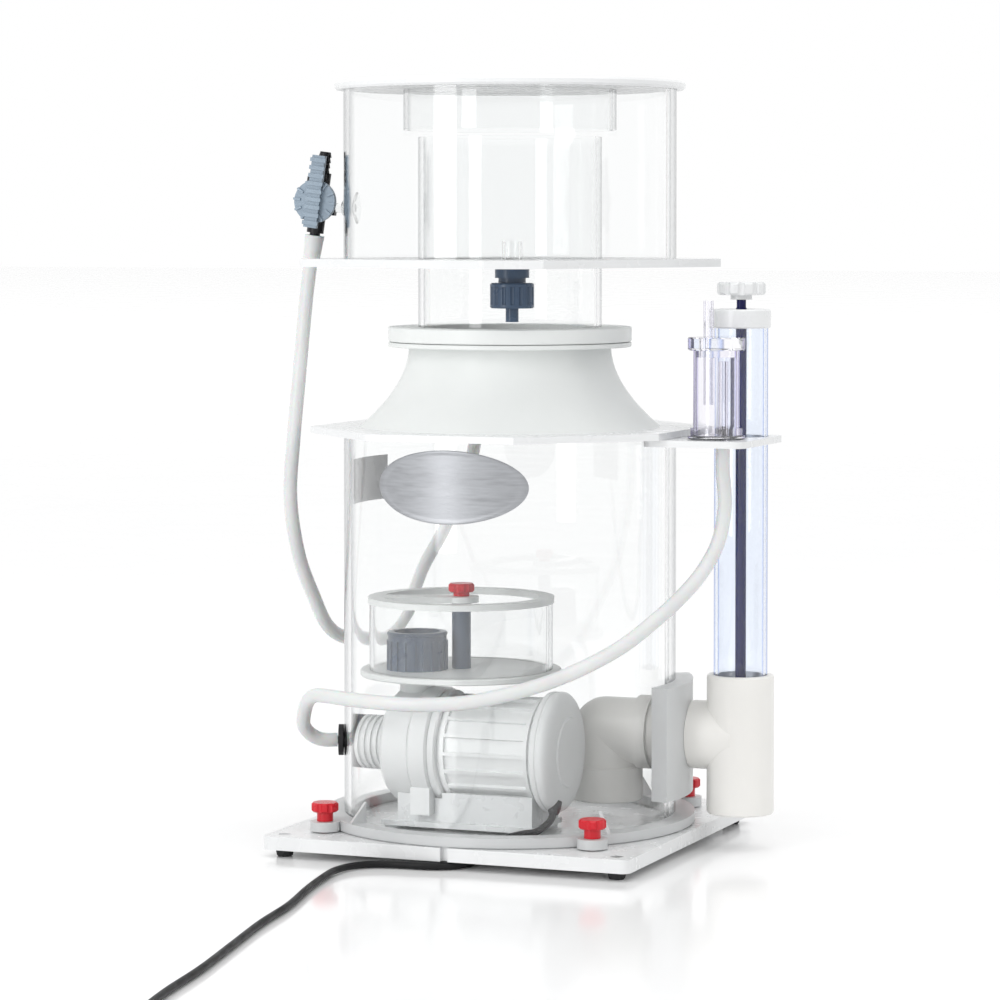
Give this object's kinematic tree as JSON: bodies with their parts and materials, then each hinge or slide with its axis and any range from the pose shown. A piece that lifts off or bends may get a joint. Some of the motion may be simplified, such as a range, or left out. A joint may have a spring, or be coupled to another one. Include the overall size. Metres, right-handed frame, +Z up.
{
  "type": "protein skimmer",
  "caption": "Aquarium protein skimmer: clear reaction tube on a square base, foam funnel, lidded collection cup, needle-wheel pump and level standpipe.",
  "frame": {"origin": "on the floor under the centre line of the body tube", "axes": "+Z up, +X towards the outlet tee, -Y towards the front edge of the base plate"},
  "size_m": [0.3807, 0.9267, 0.5711],
  "materials": {
    "white_acrylic": "satin white cast acrylic",
    "clear_acrylic": "clear cast acrylic, polished edges",
    "frosted_acrylic": "translucent white acrylic",
    "funnel_plastic": "satin light grey vacuum-formed plastic",
    "pipe_pvc": "warm white pressure pipe PVC",
    "grey_pvc": "dark blue-grey PVC",
    "red_plastic": "moulded red plastic",
    "black_rubber": "matt black rubber",
    "steel": "stainless countersunk screws",
    "ceramic": "polished ceramic shaft",
    "black_plastic": "black moulded plastic",
    "valve_grey": "grey-blue moulded plastic",
    "soft_clear": "soft clear vinyl",
    "pump_shell": "light grey moulded plastic",
    "pump_base": "translucent smoked foot",
    "rotor_blue": "needle wheel with magnet rotor",
    "blue_clear": "blue tinted clear tube",
    "navy_rod": "navy blue rod",
    "silencer_clear": "clear with a faint lavender tint",
    "hose_silicone": "translucent white silicone hose",
    "cable_black": "black rubber-sheathed cable",
    "badge_metal": "brushed silver oval, blank",
    "label_film": "grey printed film, blank"
  },
  "bodies": {
    "root": {"base_plate": "white_acrylic", "rubber_feet": "black_rubber", "foot_screws": "steel", "body_tube": "clear_acrylic", "body_flange": "frosted_acrylic", "base_gasket": "frosted_acrylic", "top_plate": "white_acrylic", "funnel": "funnel_plastic", "neck_seal": "black_rubber", "side_bracket": "white_acrylic", "silencer_base": "silencer_clear", "silencer_body": "silencer_clear", "standpipe_tube": "blue_clear", "standpipe_cap": "white_acrylic", "outlet_tee": "pipe_pvc", "outlet_saddle": "frosted_acrylic", "outlet_elbow": "pipe_pvc", "diffuser_base": "funnel_plastic", "diffuser_wall": "clear_acrylic", "diffuser_top": "funnel_plastic", "diffuser_post": "grey_pvc", "riser_socket": "grey_pvc", "pump_gasket": "black_rubber", "pump_volute": "pump_shell", "pump_motor": "pump_shell", "pump_end_cap": "pump_shell", "pump_foot": "pump_base", "pump_shaft": "ceramic", "air_grommet": "black_rubber", "badge": "badge_metal", "tube_label": "label_film", "air_hose": "hose_silicone", "silencer_hose": "hose_silicone", "pump_cable": "cable_black", "cable_coil": "cable_black", "mains_plug": "black_plastic"},
    "cup": {"neck_tube": "clear_acrylic", "cup_plate": "white_acrylic", "cup_tube": "clear_acrylic", "clamp_ring": "funnel_plastic", "drain_stub": "clear_acrylic", "drain_body": "grey_pvc", "drain_pipe": "grey_pvc", "valve_body": "black_plastic", "suction_cup": "soft_clear", "hose_cuff": "hose_silicone"},
    "lid": {"cup_lid": "white_acrylic", "lid_collar": "clear_acrylic"},
    "valve_handle": {"valve_lever": "valve_grey"},
    "union_nut": {"drain_nut": "grey_pvc"},
    "air_silencer_lid": {"silencer_lid": "silencer_clear"},
    "level_slider": {"level_plug": "black_rubber"},
    "level_spindle": {"level_rod": "navy_rod", "level_knob": "white_acrylic"},
    "impeller": {"pump_impeller": "rotor_blue"},
    "diffuser_thumb_screw": {"diffuser_screw": "red_plastic"},
    "thumb_screw_1": {"thumb_screw_1": "red_plastic"},
    "thumb_screw_2": {"thumb_screw_2": "red_plastic"},
    "thumb_screw_3": {"thumb_screw_3": "red_plastic"},
    "thumb_screw_4": {"thumb_screw_4": "red_plastic"}
  },
  "joints": [
    {"name": "cup_lift", "type": "slide", "parent": "root", "child": "cup", "axis": [0, 0, 1], "range_m": [0, 0.06]},
    {"name": "lid_lift", "type": "slide", "parent": "cup", "child": "lid", "axis": [0, 0, 1], "range_m": [0, 0.08]},
    {"name": "valve_turn", "type": "hinge", "parent": "cup", "child": "valve_handle", "pos_m": [-0.14888, -0.01828, 0.482], "axis": [0.1219, -0.9925, 0], "range_deg": [0, 80]},
    {"name": "drain_nut_turn", "type": "hinge", "parent": "cup", "child": "union_nut", "pos_m": [0.03712, -0.08962, 0.41], "axis": [0, 0, 1], "continuous": true},
    {"name": "silencer_lid_lift", "type": "slide", "parent": "root", "child": "air_silencer_lid", "axis": [0, 0, 1], "range_m": [0, 0.03]},
    {"name": "level_plug_lift", "type": "slide", "parent": "root", "child": "level_slider", "axis": [0, 0, 1], "range_m": [-0.006, 0.03]},
    {"name": "level_knob_turn", "type": "hinge", "parent": "level_slider", "child": "level_spindle", "pos_m": [0.174, 0.026, 0.4], "axis": [0, 0, 1], "range_deg": [-220, 1082]},
    {"name": "impeller_spin", "type": "hinge", "parent": "root", "child": "impeller", "pos_m": [-0.03, -0.046, 0.076], "axis": [1, 0, 0], "continuous": true},
    {"name": "diffuser_screw_turn", "type": "hinge", "parent": "root", "child": "diffuser_thumb_screw", "pos_m": [-0.028, -0.028, 0.19], "axis": [0, 0, 1], "continuous": true},
    {"name": "thumb_screw_1_turn", "type": "hinge", "parent": "root", "child": "thumb_screw_1", "pos_m": [0.10536, 0.10536, 0.024], "axis": [0, 0, 1], "continuous": true},
    {"name": "thumb_screw_2_turn", "type": "hinge", "parent": "root", "child": "thumb_screw_2", "pos_m": [-0.10536, 0.10536, 0.024], "axis": [0, 0, 1], "continuous": true},
    {"name": "thumb_screw_3_turn", "type": "hinge", "parent": "root", "child": "thumb_screw_3", "pos_m": [-0.10536, -0.10536, 0.024], "axis": [0, 0, 1], "continuous": true},
    {"name": "thumb_screw_4_turn", "type": "hinge", "parent": "root", "child": "thumb_screw_4", "pos_m": [0.10536, -0.10536, 0.024], "axis": [0, 0, 1], "continuous": true}
  ],
  "couplings": [
    {"joint": "level_knob_turn", "follows": "level_plug_lift", "rad_per_m": 628.32}
  ]
}
